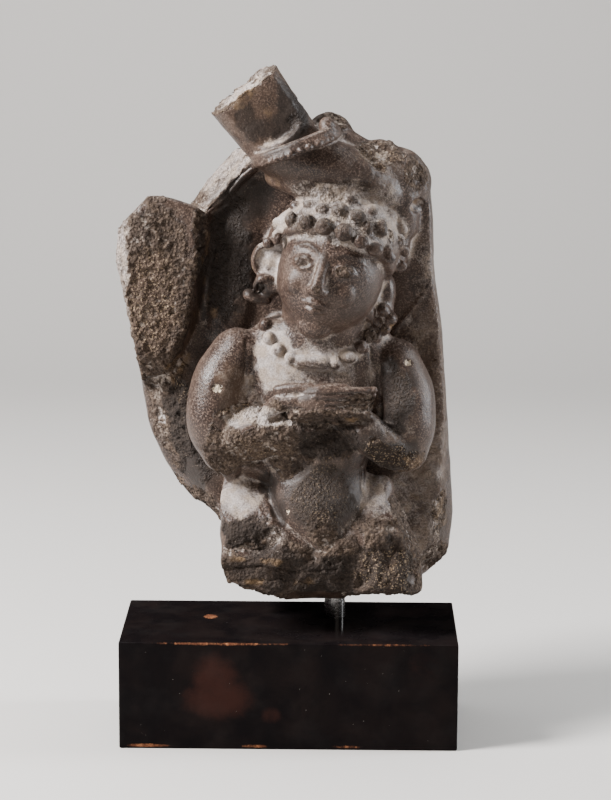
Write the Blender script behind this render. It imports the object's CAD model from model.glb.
import math

import bmesh
import bpy
import numpy as np
from mathutils import Euler, Matrix, Vector, kdtree, noise


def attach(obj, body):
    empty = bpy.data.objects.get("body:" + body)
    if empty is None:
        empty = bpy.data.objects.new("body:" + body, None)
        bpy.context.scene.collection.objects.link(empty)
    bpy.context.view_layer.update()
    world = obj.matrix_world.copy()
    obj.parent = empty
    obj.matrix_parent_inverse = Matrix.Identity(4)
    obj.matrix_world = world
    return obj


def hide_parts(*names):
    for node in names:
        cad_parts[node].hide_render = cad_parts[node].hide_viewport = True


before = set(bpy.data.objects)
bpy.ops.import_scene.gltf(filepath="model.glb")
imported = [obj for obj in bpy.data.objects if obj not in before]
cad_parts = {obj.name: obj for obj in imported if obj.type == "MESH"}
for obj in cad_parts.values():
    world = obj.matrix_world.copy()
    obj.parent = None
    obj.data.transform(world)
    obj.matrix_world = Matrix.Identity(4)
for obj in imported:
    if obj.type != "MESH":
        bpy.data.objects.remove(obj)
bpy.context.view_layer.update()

# Shapes are modelled in millimetres and turned into metres at the end.
# X runs to the viewer's right, Y away from the viewer, Z up.
metre = 0.001
viewDepth = Vector((0, 1, 0))


# Small tools

def reading(pairs):  # straight-line reading between (place, value) pairs
    places, values = zip(*pairs)
    return lambda at: float(np.interp(at, places, values))


def spread(values):
    if len(values) == 1:
        return lambda at: values[0]
    return reading([(i / (len(values) - 1), value) for i, value in enumerate(values)])


def ease(at, low, high):
    t = np.clip((at - low) / (high - low), 0, 1)
    return t * t * (3 - 2 * t)


def turn(angles):
    return Euler([math.radians(a) for a in angles]).to_matrix()


def smoothPath(points):  # Catmull-Rom curve through the points, with its direction
    knots = [Vector(p) for p in points]
    knots = [knots[0] * 2 - knots[1]] + knots + [knots[-1] * 2 - knots[-2]]

    def at(t):
        span = min(max(t, 0), 1) * (len(points) - 1)
        i = min(int(span), len(points) - 2)
        u = span - i
        a, b, c, d = knots[i:i + 4]
        place = 0.5 * (2 * b + (c - a) * u + (2 * a - 5 * b + 4 * c - d) * u * u
                       + (3 * b - a - 3 * c + d) * u ** 3)
        ahead = 0.5 * ((c - a) + 2 * (2 * a - 5 * b + 4 * c - d) * u
                       + 3 * (3 * b - a - 3 * c + d) * u * u)
        return place, ahead.normalized()
    return at


# Building forms, each a closed shell in its own bmesh that joins a group

def joinShell(group, shell):
    scratch = bpy.data.meshes.new("scratch")
    shell.to_mesh(scratch)
    shell.free()
    group.from_mesh(scratch)
    bpy.data.meshes.remove(scratch)


def ball(sides, rings):
    shell = bmesh.new()
    bmesh.ops.create_uvsphere(shell, u_segments=sides, v_segments=rings, radius=1)
    return shell


def capped(vert, cap):  # how far down the ball a point lies, its angle within a cap, its place round the axis
    polar = math.acos(min(max(vert.co.z, -1), 1)) / math.pi
    rim = min(min(polar, 1 - polar) / cap, 1) * math.pi / 2
    flat = Vector((vert.co.x, vert.co.y))
    if flat.length > 1e-6:
        flat = flat.normalized() * math.sin(rim)
    return polar, rim, flat


# Rounds of points along a shell, and the share of it that each rounded end takes
shells = {"limbRings": 44, "limbCap": 0.25, "columnSides": 48, "columnRings": 60, "columnCap": 0.06}


def limb(group, path, wide, deep=None, sides=28):
    curve, width, depth = smoothPath(path), spread(wide), spread(deep or wide)
    shell, cap = ball(sides, shells["limbRings"]), shells["limbCap"]
    for vert in shell.verts:
        polar, rim, flat = capped(vert, cap)
        beyond = math.cos(rim) * (1 if polar < 0.5 else -1)
        t = min(max(1 - (polar - cap) / (1 - 2 * cap), 0), 1)
        place, ahead = curve(t)
        across = ahead.cross(viewDepth).normalized()
        outward = ahead.cross(across)
        vert.co = (place + across * flat.x * width(t) + outward * flat.y * depth(t)
                   + ahead * beyond * min(width(t), depth(t)))
    joinShell(group, shell)


def lump(group, at, size, angles=(0, 0, 0), detail=4):
    shell = bmesh.new()
    bmesh.ops.create_icosphere(shell, subdivisions=detail, radius=1)
    spin = turn(angles)
    for vert in shell.verts:
        vert.co = Vector(at) + spin @ Vector([a * b for a, b in zip(vert.co, size)])
    joinShell(group, shell)


def sectionAt(sections, z):  # middle x, half x, middle y and half y at a height
    heights, *values = zip(*sections)
    return [float(np.interp(z, heights, row)) for row in values]


def column(group, sections):
    low, high = sections[0][0], sections[-1][0]
    shell, cap = ball(shells["columnSides"], shells["columnRings"]), shells["columnCap"]
    for vert in shell.verts:
        polar, rim, flat = capped(vert, cap)
        z = high + (low - high) * min(max((polar - cap) / (1 - 2 * cap), 0), 1)
        middleX, halfX, middleY, halfY = sectionAt(sections, z)
        vert.co = (middleX + flat.x * halfX, middleY + flat.y * halfY, z)
    joinShell(group, shell)


def plate(group, bottom, top, left, right, front, back, settle=0, cuts=40):
    shell = bmesh.new()
    bmesh.ops.create_cube(shell, size=1)
    bmesh.ops.subdivide_edges(shell, edges=shell.edges[:], cuts=cuts, use_grid_fill=True)
    for vert in shell.verts:
        u, depth, rise = [c + 0.5 for c in vert.co]
        z = bottom + (top - bottom) * rise
        x = left(z, depth) + (right(z, depth) - left(z, depth)) * u
        y = front(x, z) + (back - front(x, z)) * depth
        vert.co = (x, y, z - settle * depth * ease(rise, 0.3, 1))
    joinShell(group, shell)


# The stone, from the same named sizes as its solid

slab = {"bottom": 81, "top": 350, "front": 11, "back": 51}
lobe = {"bottom": 205, "top": 323.5, "front": -1, "back": 44}
stub = {"foot": (-4, -2, 354), "end": (-28.5, -2, 386), "wide": (21, 24), "deep": (19, 20), "lean": 0.14}
bangle = {"at": (3, -7, 353.5), "ring": 23, "band": 5.0, "tall": 4.8, "lean": 2, "roll": -21}
head = {"at": (23, -13, 279), "size": (31, 30, 37), "turn": (-6, 12, -12)}
hair = {"at": (27, -8, 294.5), "size": (36.5, 31.5, 37), "tip": -35, "edge": -12}
bead = {"radius": 3.9, "barLength": 18, "barRadius": 4.2}
finger = {"radius": 2.1, "count": 4, "pitch": 3.5, "top": 215.3}
carving = {"broadVoxel": 1.3, "fineVoxel": 0.8, "broadRelax": 7, "fineRelax": 2, "triangles": 190000}


def slabBody(group):
    leftFront = reading([(81, -30), (126, -40), (150, -52), (175, -64), (202, -72), (216, -84),
                         (243, -76), (305, -60), (315, -42), (340, -22), (350, -18)])
    leftBack = reading([(81, -26), (126, -46), (136, -64), (157, -77), (180, -87), (212, -92),
                        (243, -80), (305, -66), (316, -61), (331, -51), (350, -34)])
    rightBack = reading([(81, 70), (93, 86), (104, 96), (129, 98.5), (191, 94), (246, 90), (276, 85),
                         (308, 84), (330, 82), (341, 77), (350, 62)])
    rightBevel = reading([(93, 12), (150, 7), (200, 1.5), (350, 1.5)])
    plate(group, slab["bottom"], slab["top"],
          lambda z, depth: leftFront(z) + (leftBack(z) - leftFront(z)) * min(1, depth * 2),
          lambda z, depth: rightBack(z) - rightBevel(z) * max(0, 1 - depth * 3),
          lambda x, z: slab["front"] - 3 * ease(x, 40, 80) + 4 * ease(z, 200, 260) * (1 - ease(x, -40, 10)),
          slab["back"], settle=4, cuts=44)


def fractureLobe(group):
    left = reading([(205, -91), (240, -97), (276, -104.5), (283, -106.5), (305, -104.5), (318, -92),
                    (323.5, -87)])
    right = reading([(205, -82), (212, -80), (220, -73), (243, -63), (278, -56), (308, -51), (317, -54),
                     (323.5, -78)])
    plate(group, lobe["bottom"], lobe["top"],
          lambda z, depth: left(z) + 3 * (1 - depth),
          lambda z, depth: right(z) + 18 * min(depth, 0.4),
          lambda x, z: lobe["front"] + 9 * (1 - ease(z, 205, 232)),
          lobe["back"], settle=9, cuts=24)


def topLumps(group):
    lump(group, (22, 12, 358), (14, 14, 13.5))
    lump(group, (58, 11, 341), (19, 17, 11))
    lump(group, (73, 13, 330), (9.5, 14, 14))


def shaft(group):  # smooth upright roll between the lobe and the head
    limb(group, [(-22, 21, 346), (-29, 16, 308), (-35, 14, 266), (-38, 14, 236)], [12, 14, 14, 11],
         [6, 5, 4.5, 4])
    limb(group, [(-20, 10, 343), (-30, 11, 334.5), (-42, 12, 322), (-54, 12, 311)], [4, 4.5, 4.5, 3.5],
         [6, 6, 6, 5])


def restingHand(group):
    limb(group, [(2, -4, 348), (22, -8, 343), (42, -7, 337), (56, -3, 327)], [18, 15, 13, 9],
         [17, 18, 16, 12])
    limb(group, [(-8, 4, 335), (12, -6, 329), (32, -7, 328), (47, -3, 322)], [8, 8, 8, 5], [8, 14, 14, 10])
    limb(group, [(30, 8, 354), (43, 8, 347), (54, 8, 342)], [9, 9, 9])
    limb(group, [(52, 5, 344), (61, 4, 328), (64, 6, 306)], [13, 14, 11], [13, 13, 10])


def forearmStub(group):
    axis = (Vector(stub["end"]) - Vector(stub["foot"])).normalized()
    beyond = Vector(stub["end"]) + axis * 6
    limb(group, [stub["foot"], tuple(beyond)], stub["wide"], stub["deep"], sides=48)


def headPlace(point, spin=None, at=None):
    return Vector(at or head["at"]) + turn(spin or head["turn"]) @ Vector(point)


def onFace(side, up, out=0):
    bulge = math.sqrt(max(0.04, 1 - side * side - up * up))
    halfX, halfY, halfZ = head["size"]
    return tuple(headPlace((side * halfX, -bulge * halfY - out, up * halfZ)))


def headShape(group):
    shell = ball(64, 48)
    for vert in shell.verts:
        point = vert.co.copy()
        point.x *= 1 - 0.1 * ease(-point.z, 0.2, 1)
        vert.co = headPlace([a * b for a, b in zip(point, head["size"])])
    joinShell(group, shell)


def hairPlace(point):
    tipped = turn((hair["tip"], 0, 0)) @ Vector(point)
    return headPlace(tipped, (0,) + head["turn"][1:], hair["at"])


def hairCap(group):
    edge = math.sin(math.radians(hair["edge"]))
    shell = ball(64, 48)
    for vert in shell.verts:
        x, y, z = vert.co
        vert.co = hairPlace([a * b for a, b in zip((x, y, max(z, edge)), hair["size"])])
    joinShell(group, shell)


# Curls lie where the photograph shows them: x, z, half width, half height, rise out of the hair
curlPlaces = [
    (-13, 296.5, 3.7, 3.7, 1.0), (-7.5, 301, 3.4, 4.8, 1.1), (-7, 307.5, 4.2, 4.0, 1.2),  # front row
    (0.5, 312, 4.0, 4.8, 1.2), (9.5, 312, 4.8, 4.8, 1.2), (19.5, 310, 5.1, 5.4, 1.2),
    (30.5, 307, 5.4, 5.4, 1.3), (40.5, 302, 4.5, 4.5, 1.1), (48.5, 297, 5.1, 4.2, 1.2),
    (57, 291, 4.2, 3.6, 1.1), (63, 284, 5.1, 3.8, 1.0),
    (18.5, 319, 4.8, 4.2, 0.4), (28.5, 318.5, 5.6, 4.8, 0.6), (38.5, 315, 5.3, 5.1, 1.0),  # second row
    (44.5, 309.5, 2.8, 3.9, 0.6), (52.5, 308, 4.5, 5.6, 0.8), (57.5, 302.5, 2.8, 5.0, 0.8),
    (63, 298, 3.6, 5.3, 0.6), (56.5, 296, 3.3, 3.3, 0.4), (66.5, 292.5, 2.8, 3.6, 0.6),
    (2.5, 319, 3.6, 3.2, 0.4), (10.5, 320.5, 3.8, 3.4, 0.4), (21.5, 326.5, 4.4, 3.6, 0.2),  # worn, above
    (11, 328, 4.0, 3.2, 0.2), (35.5, 324, 4.2, 3.4, 0.4), (47, 318, 4.2, 3.8, 0.4),
    (58, 313, 4.2, 4.0, 0.4), (65, 305, 3.2, 3.8, 0.4),
]


def hairFront(x, z):  # depth of the hair's front surface at (x, z)
    back = (turn((0,) + head["turn"][1:]) @ turn((hair["tip"], 0, 0))).transposed()
    size = Vector(hair["size"])
    start, along = [back @ Vector(v) for v in ((x - hair["at"][0], 0, z - hair["at"][2]), (0, 1, 0))]
    start, along = [Vector(a / b for a, b in zip(v, size)) for v in (start, along)]
    a, b, c = along.dot(along), 2 * start.dot(along), start.dot(start) - 1
    return hair["at"][1] + (-b - math.sqrt(max(b * b - 4 * a * c, 0))) / (2 * a)


def curls(group):
    for x, z, wide, tall, rise in curlPlaces:
        slopes = [(hairFront(x + a, z + b) - hairFront(x - a, z - b)) / 2 for a, b in ((1, 0), (0, 1))]
        facing = Vector((slopes[0], -1, slopes[1])).normalized() + Vector((0, -0.7, 0))
        facing.normalize()
        angles = [math.degrees(a) for a in facing.to_track_quat("Y", "Z").to_euler()]
        at = Vector((x, hairFront(x, z), z)) + facing * rise
        lump(group, at, (wide, 0.8 * min(wide, tall), tall), angles, detail=3)


def features(group):
    for side in (-1, 1):
        lump(group, onFace(0.4 * side, 0.15, -2.2), (6.4, 4.4, 4.2), head["turn"])
        for rise, thick in ((0.075, 1.5), (-0.085, 1.0)):
            lid = [(0.2, 0.135), (0.31, 0.15 + rise), (0.43, 0.155 + rise * 1.1), (0.61, 0.145)]
            limb(group, [onFace(a * side, b, 0.1) for a, b in lid], [0.7, thick, 0.7], [0.9, 1.7, 0.9],
                 sides=14)
        limb(group, [onFace(a * side, b, -0.7) for a, b in ((0.11, 0.33), (0.38, 0.42), (0.68, 0.32))],
             [1.7, 2.1, 1.1], sides=12)
        lump(group, onFace(0.12 * side, -0.235, 1.0), (3.0, 3.2, 2.5), head["turn"])
        lump(group, onFace(0.42 * side, -0.18, -5.4), (8, 6.5, 9), head["turn"])
    limb(group, [onFace(0, 0.34, -1.4), onFace(0, 0.04, 0.9), onFace(0, -0.2, 2.8)], [3.3, 3.3, 4.3],
         [2.2, 3.4, 4.0])
    upperLip = [(-0.29, -0.46, -0.5), (-0.09, -0.425, 1.3), (0, -0.437, 1.2), (0.09, -0.425, 1.3),
                (0.29, -0.46, -0.5)]
    lowerLip = [(-0.23, -0.52, -0.4), (0, -0.555, 1.4), (0.23, -0.52, -0.4)]
    limb(group, [onFace(*place) for place in upperLip], [0.9, 2.0, 0.9])
    limb(group, [onFace(*place) for place in lowerLip], [1.0, 2.5, 1.0])
    lump(group, onFace(0, -0.8, -6), (11, 7.5, 8.5), head["turn"])


def ears(group):
    lump(group, (-13, 2, 285), (10.5, 8, 10.5))
    lump(group, (-12, -1, 271), (8, 8, 8))
    limb(group, [(-10, 8, 293), (-6, 2, 301), (-2, -3, 308), (5, -8, 312)], [6, 7, 7, 6], [9, 10, 10, 8])
    limb(group, [(50, -9, 296), (57, -3, 291), (62, 3, 286), (64, 5, 296)], [6, 7, 6, 6], [8, 9, 8, 8])
    lump(group, (56, -1, 267), (6, 9, 12))
    lump(group, (52, -4, 256), (9, 8, 12))


def earRing(group):
    limb(group, [(-12, 0, 294.5), (-18.5, 1, 293), (-22, 2, 286), (-20, 1, 279), (-14, -1, 276)],
         [1.6, 1.9, 1.9, 1.6], [6, 7, 7, 6])


def earOrnaments(group):
    limb(group, [(-11, -4, 275), (-17, -5, 275.5), (-20, -4, 271)], [2.6, 3.2, 2.6], [5, 6, 5])
    limb(group, [(-15, -1, 262), (-21, -3, 263.5), (-25, -4, 265.5)], [3.0, 3.2, 3.5], [6, 6, 5])
    limb(group, [(-14, 0, 272), (-15, 0, 264)], [4.5], [6])
    lump(group, (45.5, -13, 257), (4.2, 5, 6))
    for x, z in ((54, 258), (58.5, 252.5), (55, 247), (50.5, 251), (50, 242)):
        lump(group, (x, -9, z), (4.3, 7, 4.3))


bodySections = [
    (96, 18, 18, -2, 20),
    (112, 18, 20, -4, 23),
    (124, 18, 24, -7, 25.5),
    (134, 17, 28, -9, 27),
    (146, 17, 30, -9, 27.5),
    (160, 16, 28.5, -6, 26),
    (182, 15, 36, -3, 26),
    (212, 14, 46, -3, 26),
    (232, 13, 48, -2, 23),
    (243, 17, 42, -1, 20),
    (251, 19, 35, 0, 18),
]
neck = {"low": (20, -4, 236), "high": (21, -7, 262), "wide": 26, "deep": 20}


def bodyFront(x, z):
    middleX, halfX, middleY, halfY = sectionAt(bodySections, z)

    def bow(offset, half):
        return math.sqrt(max(0.05, 1 - (offset / half) ** 2))
    return min(middleY - halfY * bow(x - middleX, halfX),
               neck["low"][1] - neck["deep"] * bow(x - neck["low"][0], neck["wide"]))


def trunk(group):
    column(group, bodySections)
    limb(group, [neck["low"], neck["high"]], [neck["wide"]], [neck["deep"]])


def upperArms(group):
    limb(group, [(-32, -5, 231), (-42, -11, 214), (-45, -15, 192), (-39, -16, 175)], [15, 16.5, 16.5, 14],
         [17, 20, 20, 17])
    limb(group, [(62, -4, 225), (69, -9, 208), (70, -13, 190), (68, -15, 176)], [15, 16, 16, 14],
         [16, 19, 20, 16])


def forearms(group):
    lump(group, (-24, -12, 205), (10, 13, 10))  # fills the fold between chest and left arm
    limb(group, [(-40, -20, 179), (-22, -26, 186), (2, -31, 193), (20, -32, 202)], [13, 16, 13, 9],
         [13, 14, 11, 9])
    limb(group, [(66, -21, 175), (56, -27, 180), (42, -31, 192), (30, -31, 203)], [12, 12, 11, 9],
         [12, 12, 10, 9])


def legs(group):
    limb(group, [(-16, -2, 142), (-24, -12, 126), (-24, -20, 112)], [15, 18, 15], [16, 18, 16])
    limb(group, [(44, -2, 144), (56, -12, 126), (62, -20, 110)], [14, 19, 17], [16, 18, 16])
    left = reading([(84, -22), (92, -36), (107, -41), (124, -41)])
    right = reading([(84, 66), (90, 80), (104, 81), (124, 70)])
    front = reading([(84, -20), (94, -34), (106, -38), (113, -34), (119, -22)])
    plate(group, 84, 119, lambda z, depth: left(z) + 12 * depth, lambda z, depth: right(z) - 6 * depth,
          lambda x, z: front(z) + 3 * math.sin(x / 13), 30, cuts=24)
    lump(group, (20, -30, 132), (10, 8, 15))
    lump(group, (-31, -7, 146), (7, 9, 10), (0, 18, 0))
    lump(group, (-21, -10, 163), (14, 13, 11))
    limb(group, [(-24, -20, 134), (-11, -25, 124), (5, -28, 114)], [9, 11, 9], [8, 8.5, 8])
    lump(group, (-14, -24, 123), (10, 9, 9))
    limb(group, [(-31, -4, 154), (-27, -15, 140), (-16, -24, 126), (-3, -27, 116)], [9, 15, 12, 9],
         [12, 16, 11, 9])
    limb(group, [(54, -6, 150), (49, -16, 136), (38, -24, 122), (24, -28, 112)], [8, 12, 12, 10],
         [9, 12, 11, 9])
    lump(group, (15, -16, 178), (32, 19.5, 22))
    lump(group, (57, -22, 121), (21, 17, 18), (0, 24, 0))


def foldedHands(group):
    limb(group, [(5, -35, 205), (18, -38, 209), (32, -37, 209)], [7, 10, 10], [6, 6.5, 6])
    for i in range(finger["count"]):
        z = finger["top"] - i * finger["pitch"]
        limb(group, [(20, -38.5, z - 0.4), (36, -40, z), (49 - i, -37.5, z)], [finger["radius"]],
             [finger["radius"] + 1], sides=16)
    limb(group, [(-7, -32, 214), (2, -35, 215.5), (12, -37, 216.5)], [3.0, 3.4, 2.8], sides=16)
    limb(group, [(-12, -31, 201), (-6, -34, 206), (3, -35, 208)], [5, 5.5, 5], [6, 6, 6])
    limb(group, [(3, -37, 200.5), (16, -39.5, 200), (30, -39.5, 200.5), (43, -37, 202)], [4.5, 5.5, 5.5, 4.5],
         [5, 5, 5, 5])


def necklace(group):
    arc = smoothPath([(-16, 0, 252), (-12, 0, 241), (-1, 0, 232), (12, 0, 229), (27, 0, 229), (40, 0, 236),
                      (48, 0, 246)])
    for t in (0.05, 0.15, 0.25, 0.35, 0.66, 0.76, 0.86, 0.96):
        x, _, z = arc(t)[0]
        lump(group, (x, bodyFront(x, z) - 0.6, z), (bead["radius"], bead["radius"] + 1.5, bead["radius"]))
    half = (bead["barLength"] - bead["barRadius"]) / 2
    ends = [(x, bodyFront(x, 229) - 1.2, 229.5) for x in (12.5 - half, 12.5 + half)]
    limb(group, ends, [bead["barRadius"]])


def bangleRing(group):
    shell = bmesh.new()
    place = Matrix.Translation((bangle["ring"], 0, 0)) @ Matrix.Rotation(math.pi / 2, 4, 'X')
    bmesh.ops.create_circle(shell, segments=24, radius=bangle["band"], matrix=place)
    bmesh.ops.spin(shell, geom=shell.edges[:], axis=(0, 0, 1), cent=(0, 0, 0), angle=math.tau, steps=72,
                   use_merge=True)
    bmesh.ops.remove_doubles(shell, verts=shell.verts[:], dist=0.01)
    bmesh.ops.recalc_face_normals(shell, faces=shell.faces[:])
    spin = turn((-bangle["lean"], bangle["roll"], 0))
    for vert in shell.verts:
        away = Vector((vert.co.x, vert.co.y, 0))
        outward, up = [v / bangle["band"] for v in (away.length - bangle["ring"], vert.co.z)]
        square = max(abs(outward), abs(up)) ** -0.45
        away = away.normalized() * (bangle["ring"] + outward * square * bangle["band"] * 0.9)
        place = Vector((away.x, away.y * 0.9, up * square * bangle["tall"] * 0.9))
        vert.co = Vector(bangle["at"]) + spin @ place
    joinShell(group, shell)


def bangleKnob(group):
    lump(group, (21, -13, 365), (5, 6, 6), (0, bangle["roll"], 0))


def bangleBeads(group):
    spin = turn((-bangle["lean"], bangle["roll"], 0))
    for turned, size in ((-148, 2.2), (-133, 1.7), (-121, 2.6), (-110, 2.2), (-99, 2.5), (-84, 1.8),
                         (-72, 2.4), (-58, 2.8), (-46, 2.0), (-35, 2.8)):
        around = math.radians(turned)
        ring = bangle["ring"] + 1.5
        place = Vector((math.cos(around) * ring, math.sin(around) * ring * 0.9 - 2.2, -2.2))
        lump(group, Vector(bangle["at"]) + spin @ place, (size, 2.8, size), detail=3)


def discRim(group):
    limb(group, [(83, 9, 273), (73, 9, 257), (60, 9, 241)], [1.1], [1.7], sides=12)


# Working on the carved surface

def applied(piece):
    depsgraph = bpy.context.evaluated_depsgraph_get()
    mesh = bpy.data.meshes.new_from_object(piece.evaluated_get(depsgraph))
    mesh.validate()
    old = piece.data
    piece.modifiers.clear()
    piece.data = mesh
    bpy.data.meshes.remove(old)
    return piece


def pieceFrom(group, name):
    mesh = bpy.data.meshes.new(name)
    group.to_mesh(mesh)
    group.free()
    piece = bpy.data.objects.new(name, mesh)
    bpy.context.scene.collection.objects.link(piece)
    return piece


def shadeSmooth(piece):
    for polygon in piece.data.polygons:
        polygon.use_smooth = True


def readAll(items, name, width, kind=float):
    values = np.empty(len(items) * width, dtype=kind)
    items.foreach_get(name, values)
    return values.reshape(-1, width)


def readPoints(mesh):
    return readAll(mesh.vertices, "co", 3)


def readNormals(mesh):
    return readAll(mesh.vertex_normals, "vector", 3)


def readEdges(mesh):
    return readAll(mesh.edges, "vertices", 2, np.int64)


def writePoints(mesh, points):
    mesh.vertices.foreach_set("co", points.ravel())
    mesh.update()


def relax(values, edges, rounds):  # each round moves a value half way to its neighbours' mean
    degree = np.bincount(edges.ravel(), minlength=len(values)).clip(1)[:, None]
    for _ in range(rounds):
        total = np.stack([np.bincount(edges[:, 0], values[edges[:, 1], k], len(values))
                          + np.bincount(edges[:, 1], values[edges[:, 0], k], len(values))
                          for k in range(values.shape[1])], axis=1)
        values = values + (total / degree - values) * 0.5
    return values


# Breaks: inside an oval reach, whatever stands beyond a rough plane is knocked back onto it.
# Centre of the reach, reach, a point on the plane, its facing, roughness and grain, and for split stone
# the depth and pitch of its layers.

breaks = [
    ((-31, -2, 392), (34, 34, 24), (-28.2, -2, 385.2), (-0.6, -0.11, 0.785), 2.0, 10),  # forearm's end
    ((-40, 26, 330), (34, 30, 30), (-29, 12, 342), (-0.74, -0.29, 0.605), 1.2, 9),  # upper left strip
    ((-104, 8, 270), (15, 40, 74), (-102.5, 6, 270), (-0.8, -0.6, 0.05), 2.0, 10),  # lobe's outer edge
    ((-56, -1, 275), (10, 16, 52), (-56, -1, 275), (0.7, -0.71, 0), 2.2, 7),  # lobe's inner edge
    ((-88, 4, 326), (30, 40, 16), (-84, 0, 320), (-0.15, -0.45, 0.88), 1.6, 7),  # lobe's top
    ((-82, 2, 212), (22, 18, 24), (-80, 3, 222), (-0.1, -0.8, -0.6), 2.0, 7),  # lobe's foot
    ((-74, 16, 170), (26, 18, 50), (-66, 13, 178), (-0.62, -0.75, -0.15), 3.4, 12),  # lower left rim
    ((-62, 30, 134), (26, 26, 20), (-58, 22, 140), (-0.62, -0.5, -0.6), 2.0, 9),
    ((80, 4, 330), (18, 22, 26), (77, 0, 332), (0.62, -0.72, 0.3), 1.8, 7),  # upper right corner
    ((60, -6, 350), (24, 18, 14), (60, -4, 347), (0.1, -0.6, 0.8), 1.8, 8),
    ((26, 8, 366), (18, 18, 12), (28, 2, 364), (0.25, -0.5, 0.83), 1.6, 6),  # behind the bangle
    ((-20, -36, 177), (38, 36, 24), (-20, -36.5, 184), (-0.06, -0.87, -0.48), 2.4, 11),  # left forearm
    ((-24, -35, 117), (20, 14, 6), (-24, -33, 117), (-0.1, -0.72, 0.7), 1.8, 6),  # ledge below the knee
    ((-16, -32, 198), (30, 14, 9), (-16, -29, 200), (0.05, -0.45, 0.9), 1.2, 6),
    ((24, -42, 199), (29, 9, 9), (24, -37.5, 199), (0, -0.86, -0.5), 1.5, 5),  # under the hands
    ((52, -38, 178), (26, 16, 15), (54, -37, 179), (0.05, -0.84, -0.54), 2.0, 8),  # right forearm
    ((71, -30, 168), (16, 14, 12), (71, -31, 166), (0.15, -0.85, -0.5), 1.6, 6),  # right elbow
    ((-22, -38, 127), (19, 22, 14), (-24, -30, 129), (-0.06, -0.98, -0.2), 1.5, 8),  # left knee
    ((-18, -38, 105), (40, 18, 17), (-14, -35.5, 106), (-0.12, -0.98, -0.16), 1.4, 16, 1.6, 12),  # lap, left
    ((22, -38, 108), (30, 18, 22), (20, -34, 108), (0.02, -0.97, -0.22), 2.4, 14),  # lap, middle
    ((58, -38, 112), (36, 20, 30), (56, -36, 114), (0.2, -0.95, 0.22), 2.6, 12),  # lap, right
    ((76, -24, 106), (18, 24, 26), (74, -26, 108), (0.8, -0.58, 0.1), 2.2, 8),
    ((20, -30, 86), (66, 24, 9), (20, -30, 89), (0, -0.55, -0.83), 2.2, 9),  # lap, foot
    ((-24, -26, 90), (24, 34, 16), (-23, -33, 94.5), (-0.28, -0.25, -0.92), 1.8, 8),  # foot, left
    ((56, -26, 88), (26, 34, 12), (56, -33, 92.2), (0.02, -0.25, -0.97), 2.0, 9),  # foot, right
    ((77, -21, 132), (26, 28, 23), (66, -20, 133), (0.86, -0.12, 0.48), 1.2, 8),  # right thigh
    ((20, -40, 133), (13, 12, 17), (20, -36, 133), (0.05, -0.97, -0.2), 1.6, 6),  # belly's worn foot
    ((93, 12, 126), (9, 14, 20), (91, 11, 126), (0.62, -0.78, 0), 1.2, 5),  # lower right bevel
    ((88, 14, 106), (16, 20, 16), (86, 12, 106), (0.55, -0.6, -0.55), 1.8, 8),
]

# Flat faces that were carved, not broken, in the same terms
planes = [
    ((-24, -20, 384), (36, 40, 32), (-21, -15.5, 372), (0.1, -0.99, 0.06), 0.5, 12),  # forearm's front
    ((-29, -28, 145), (21, 30, 22), (-34, -8, 157), (-0.12, -0.8, 0.58), 0.4, 14),  # left thigh
]
fineBreaks = [
    ((16, -42, 199.5), (32, 8, 6.5), (16, -42, 200.5), (0, -0.8, -0.6), 1.6, 5),  # hands' lower edge
    ((-9, -38, 203), (7, 7, 7), (-9, -39.5, 204), (-0.2, -0.95, 0.1), 1.2, 3),
    ((40, -40, 208), (12, 7, 6), (42, -39.5, 208), (0.3, -0.95, 0), 1.0, 4),
    ((40, -34, 327), (30, 14, 9), (40, -28.5, 331), (0.1, -0.72, 0.68), 1.4, 6),  # worn upper curls
    ((60, -18, 308), (9, 12, 12), (63, -18, 309), (0.6, -0.7, 0.35), 1.2, 5),
    ((12, -34, 330), (20, 12, 6), (12, -30.5, 331), (-0.1, -0.75, 0.65), 1.2, 5),
    ((52, -22, 246), (10, 9, 12), (53, -16.5, 246), (0.3, -0.95, 0), 1.2, 4),  # right ear ornament
]


# Hollows and chips: centre, size and depth

hollows = [
    (71.5, 3, 318.5, 7, 9, 6, 5.0),
    (-16.5, -5, 285.5, 4, 6, 6, 1.6),
    (-18.5, -9, 270, 3.5, 6, 3.5, 3.0),
    (*onFace(0.03, -0.2, 6.5), 3.2, 4, 2.8, 1.0),  # nose tip
]
chips = [
    (-42.5, -31, 214.5, 3.4, 3, 3, 1.3),
    (0, -29, 140.5, 2.2, 3, 2.4, 1.0),
    (-19, -26, 142, 2.4, 3, 2.2, 0.9),
    (69, -19, 228, 2.6, 4, 2.2, 1.0),
    (-9, -35, 246, 2.5, 4, 2.5, 0.8),
]


def fractal(points, size, octaves=3, shift=0.0):
    offset = Vector((shift, shift * 0.7, -shift))
    return np.array([noise.fractal(Vector(p) / size + offset, 0.9, 2.1, octaves) for p in points])


def facets(points, size, shift):  # small tilted faces with sharp ridges, as broken stone has
    offset, middle = Vector((shift, -shift, shift * 0.6)), Vector((0.5, 0.5, 0.5))
    heights = []
    for p in points:
        at = Vector(p) / size + offset
        nearest = noise.voronoi(at)[1][0]
        heights.append((at - nearest).dot(noise.cell_vector(nearest * 31) - middle) * 2
                       + 0.5 * (noise.cell(nearest * 17) - 0.5))
    return np.array(heights)


def within(points, centre, reach, soft):
    return ease(1 - (((points - centre) / reach) ** 2).sum(axis=1), 0, soft)


def ragged(points, centre, reach, soft, amount):  # the same, with an uneven border
    near = np.nonzero((abs(points - centre) < np.array(reach) * 1.6).all(axis=1))[0]
    mask = np.zeros(len(points))
    if len(near):
        size = min(reach)
        wander = np.stack([fractal(points[near], size * 0.8, 3, shift) for shift in (2.2, 5.1, 9.4)],
                          axis=1)
        mask[near] = within(points[near] + wander * size * amount, centre, reach, soft)
    return mask


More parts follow.
